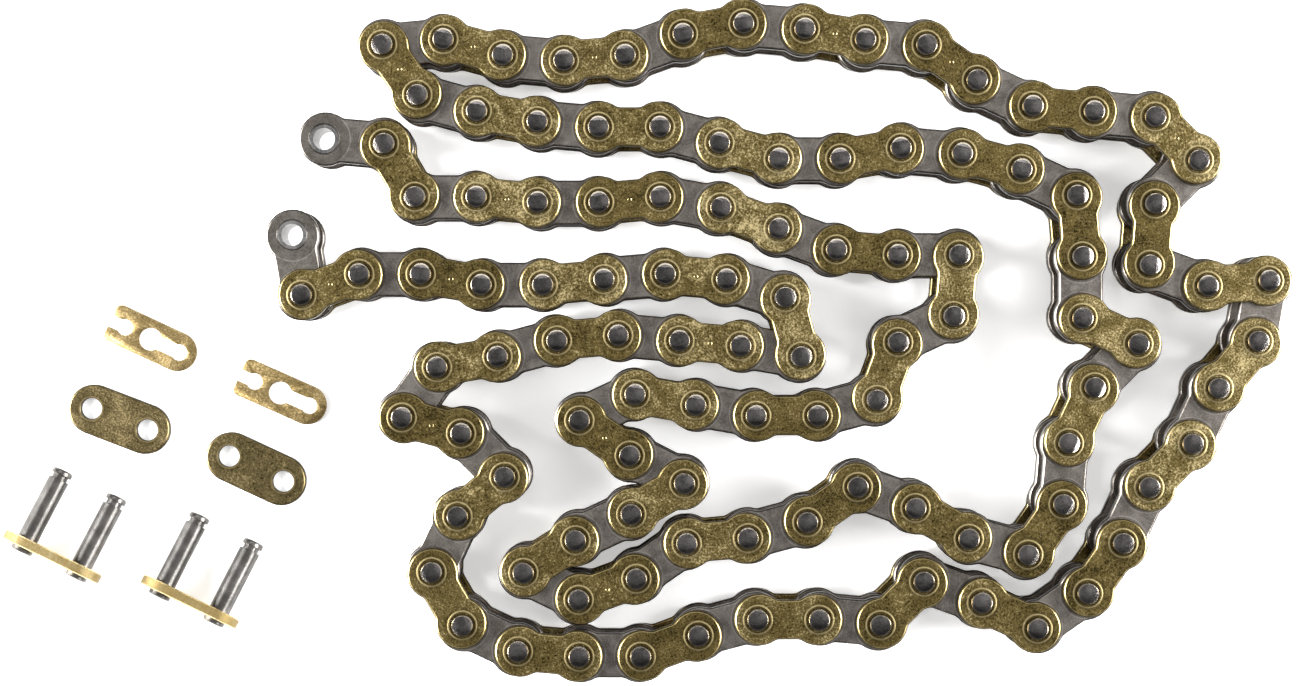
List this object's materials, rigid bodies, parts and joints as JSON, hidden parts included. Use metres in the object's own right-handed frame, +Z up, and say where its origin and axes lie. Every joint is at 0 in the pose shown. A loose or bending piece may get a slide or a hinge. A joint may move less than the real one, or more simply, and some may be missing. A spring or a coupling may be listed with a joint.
{
  "type": "motorcycle drive chain",
  "caption": "Heavy-duty roller chain for a motorcycle, laid in loose folds, with spare connecting links, cover plates and spring clips beside it.",
  "frame": {"origin": "middle of the set's footprint, on the surface it lies on", "axes": "+X along the longer side of the lay, towards its closed folds; +Y across it; +Z up, along the riveted pins"},
  "size_m": [0.2698, 0.142, 0.0181],
  "materials": {
    "outer_plates": "gold-coloured plating over steel, satin and lightly scuffed",
    "inner_plates": "grey heat-treated steel, satin",
    "pins": "dark hardened steel, riveted ends bright at the rim",
    "bushes": "dark hardened steel",
    "rollers": "oiled dark steel",
    "connecting_plates": "bright gold-coloured plating with sheared edges",
    "connecting_pins": "ground steel",
    "cover_plates": "dark gold-coloured plating, mottled",
    "spring_clips": "gold-coloured plating over spring steel, mottled"
  },
  "bodies": {
    "chain_run": {"run_inner_plates_upper": "inner_plates", "run_inner_plates_lower": "inner_plates", "run_bushes": "bushes", "run_rollers": "rollers", "run_outer_plates_upper": "outer_plates", "run_outer_plates_lower": "outer_plates", "run_pins": "pins"},
    "end_a_inner_link_1": {"end_a_inner_plate_upper_1": "inner_plates", "end_a_inner_plate_lower_1": "inner_plates", "end_a_bushes_1": "bushes"},
    "end_a_outer_link_1": {"end_a_outer_plate_upper_1": "outer_plates", "end_a_outer_plate_lower_1": "outer_plates", "end_a_pins_1": "pins"},
    "end_a_inner_link_2": {"end_a_inner_plate_upper_2": "inner_plates", "end_a_inner_plate_lower_2": "inner_plates", "end_a_bushes_2": "bushes"},
    "end_a_outer_link_2": {"end_a_outer_plate_upper_2": "outer_plates", "end_a_outer_plate_lower_2": "outer_plates", "end_a_pins_2": "pins"},
    "end_a_roller_1_body": {"end_a_roller_1": "rollers"},
    "end_a_roller_2_body": {"end_a_roller_2": "rollers"},
    "end_a_roller_3_body": {"end_a_roller_3": "rollers"},
    "end_a_roller_4_body": {"end_a_roller_4": "rollers"},
    "end_b_inner_link_1": {"end_b_inner_plate_upper_1": "inner_plates", "end_b_inner_plate_lower_1": "inner_plates", "end_b_bushes_1": "bushes"},
    "end_b_outer_link_1": {"end_b_outer_plate_upper_1": "outer_plates", "end_b_outer_plate_lower_1": "outer_plates", "end_b_pins_1": "pins"},
    "end_b_inner_link_2": {"end_b_inner_plate_upper_2": "inner_plates", "end_b_inner_plate_lower_2": "inner_plates", "end_b_bushes_2": "bushes"},
    "end_b_outer_link_2": {"end_b_outer_plate_upper_2": "outer_plates", "end_b_outer_plate_lower_2": "outer_plates", "end_b_pins_2": "pins"},
    "end_b_inner_link_3": {"end_b_inner_plate_upper_3": "inner_plates", "end_b_inner_plate_lower_3": "inner_plates", "end_b_bushes_3": "bushes"},
    "end_b_outer_link_3": {"end_b_outer_plate_upper_3": "outer_plates", "end_b_outer_plate_lower_3": "outer_plates", "end_b_pins_3": "pins"},
    "end_b_roller_1_body": {"end_b_roller_1": "rollers"},
    "end_b_roller_2_body": {"end_b_roller_2": "rollers"},
    "end_b_roller_3_body": {"end_b_roller_3": "rollers"},
    "end_b_roller_4_body": {"end_b_roller_4": "rollers"},
    "end_b_roller_5_body": {"end_b_roller_5": "rollers"},
    "end_b_roller_6_body": {"end_b_roller_6": "rollers"},
    "spring_clip_1_body": {"spring_clip_1": "spring_clips"},
    "spring_clip_2_body": {"spring_clip_2": "spring_clips"},
    "cover_plate_1_body": {"cover_plate_1": "cover_plates"},
    "cover_plate_2_body": {"cover_plate_2": "cover_plates"},
    "connecting_link_1_body": {"connecting_plate_1": "connecting_plates", "connecting_pins_1": "connecting_pins"},
    "connecting_link_2_body": {"connecting_plate_2": "connecting_plates", "connecting_pins_2": "connecting_pins"}
  },
  "joints": [
    {"name": "end_a_pin_1_swing", "type": "hinge", "parent": "end_a_outer_link_1", "child": "end_a_inner_link_1", "pos_m": [-0.05343, 0.04061, 0.00905], "axis": [0, 0, 1], "range_deg": [-51, 60]},
    {"name": "end_a_pin_2_swing", "type": "hinge", "parent": "end_a_inner_link_2", "child": "end_a_outer_link_1", "pos_m": [-0.04708, 0.02961, 0.00905], "axis": [0, 0, 1], "range_deg": [-4, 22]},
    {"name": "end_a_pin_3_swing", "type": "hinge", "parent": "end_a_outer_link_2", "child": "end_a_inner_link_2", "pos_m": [-0.03438, 0.02961, 0.00905], "axis": [0, 0, -1], "range_deg": [-14, 2]},
    {"name": "end_a_pin_4_swing", "type": "hinge", "parent": "chain_run", "child": "end_a_outer_link_2", "pos_m": [-0.02173, 0.0285, 0.00905], "axis": [0, 0, 1], "range_deg": [-1, 7]},
    {"name": "end_a_roller_1_spin", "type": "hinge", "parent": "end_a_inner_link_1", "child": "end_a_roller_1_body", "pos_m": [-0.06608, 0.04171, 0.00905], "axis": [0, 0, 1], "continuous": true},
    {"name": "end_a_roller_2_spin", "type": "hinge", "parent": "end_a_inner_link_1", "child": "end_a_roller_2_body", "pos_m": [-0.05343, 0.04061, 0.00905], "axis": [0, 0, 1], "continuous": true},
    {"name": "end_a_roller_3_spin", "type": "hinge", "parent": "end_a_inner_link_2", "child": "end_a_roller_3_body", "pos_m": [-0.04708, 0.02961, 0.00905], "axis": [0, 0, 1], "continuous": true},
    {"name": "end_a_roller_4_spin", "type": "hinge", "parent": "end_a_inner_link_2", "child": "end_a_roller_4_body", "pos_m": [-0.03438, 0.02961, 0.00905], "axis": [0, 0, 1], "continuous": true},
    {"name": "end_b_pin_1_swing", "type": "hinge", "parent": "end_b_outer_link_1", "child": "end_b_inner_link_1", "pos_m": [-0.07049, 0.00932, 0.00905], "axis": [0, 0, 1], "range_deg": [-15, 208]},
    {"name": "end_b_pin_2_swing", "type": "hinge", "parent": "end_b_inner_link_2", "child": "end_b_outer_link_1", "pos_m": [-0.05856, 0.01366, 0.00905], "axis": [0, 0, -1], "range_deg": [-78, 39]},
    {"name": "end_b_pin_3_swing", "type": "hinge", "parent": "end_b_outer_link_2", "child": "end_b_inner_link_2", "pos_m": [-0.04586, 0.01366, 0.00905], "axis": [0, 0, 1], "range_deg": [-17, 39]},
    {"name": "end_b_pin_4_swing", "type": "hinge", "parent": "end_b_inner_link_3", "child": "end_b_outer_link_2", "pos_m": [-0.03335, 0.01146, 0.00905], "axis": [0, 0, -1], "range_deg": [-27, 11]},
    {"name": "end_b_pin_5_swing", "type": "hinge", "parent": "end_b_outer_link_3", "child": "end_b_inner_link_3", "pos_m": [-0.02065, 0.01146, 0.00905], "axis": [0, 0, 1], "range_deg": [-6, 14]},
    {"name": "end_b_pin_6_swing", "type": "hinge", "parent": "chain_run", "child": "end_b_outer_link_3", "pos_m": [-0.008, 0.01256, 0.00905], "axis": [0, 0, -1], "range_deg": [-1.5, 4]},
    {"name": "end_b_roller_1_spin", "type": "hinge", "parent": "end_b_inner_link_1", "child": "end_b_roller_1_body", "pos_m": [-0.0727, 0.02183, 0.00905], "axis": [0, 0, 1], "continuous": true},
    {"name": "end_b_roller_2_spin", "type": "hinge", "parent": "end_b_inner_link_1", "child": "end_b_roller_2_body", "pos_m": [-0.07049, 0.00932, 0.00905], "axis": [0, 0, 1], "continuous": true},
    {"name": "end_b_roller_3_spin", "type": "hinge", "parent": "end_b_inner_link_2", "child": "end_b_roller_3_body", "pos_m": [-0.05856, 0.01366, 0.00905], "axis": [0, 0, 1], "continuous": true},
    {"name": "end_b_roller_4_spin", "type": "hinge", "parent": "end_b_inner_link_2", "child": "end_b_roller_4_body", "pos_m": [-0.04586, 0.01366, 0.00905], "axis": [0, 0, 1], "continuous": true},
    {"name": "end_b_roller_5_spin", "type": "hinge", "parent": "end_b_inner_link_3", "child": "end_b_roller_5_body", "pos_m": [-0.03335, 0.01146, 0.00905], "axis": [0, 0, 1], "continuous": true},
    {"name": "end_b_roller_6_spin", "type": "hinge", "parent": "end_b_inner_link_3", "child": "end_b_roller_6_body", "pos_m": [-0.02065, 0.01146, 0.00905], "axis": [0, 0, 1], "continuous": true},
    {"name": "spring_clip_1_lift", "type": "slide", "parent": "chain_run", "child": "spring_clip_1_body", "axis": [0, 0, 1], "range_m": [0, 0.03]},
    {"name": "spring_clip_2_lift", "type": "slide", "parent": "chain_run", "child": "spring_clip_2_body", "axis": [0, 0, 1], "range_m": [0, 0.03]},
    {"name": "cover_plate_1_lift", "type": "slide", "parent": "chain_run", "child": "cover_plate_1_body", "axis": [0, 0, 1], "range_m": [0, 0.03]},
    {"name": "cover_plate_2_lift", "type": "slide", "parent": "chain_run", "child": "cover_plate_2_body", "axis": [0, 0, 1], "range_m": [0, 0.03]},
    {"name": "connecting_link_1_lift", "type": "slide", "parent": "chain_run", "child": "connecting_link_1_body", "axis": [0, 0, 1], "range_m": [0, 0.03]},
    {"name": "connecting_link_2_lift", "type": "slide", "parent": "chain_run", "child": "connecting_link_2_body", "axis": [0, 0, 1], "range_m": [0, 0.03]}
  ]
}
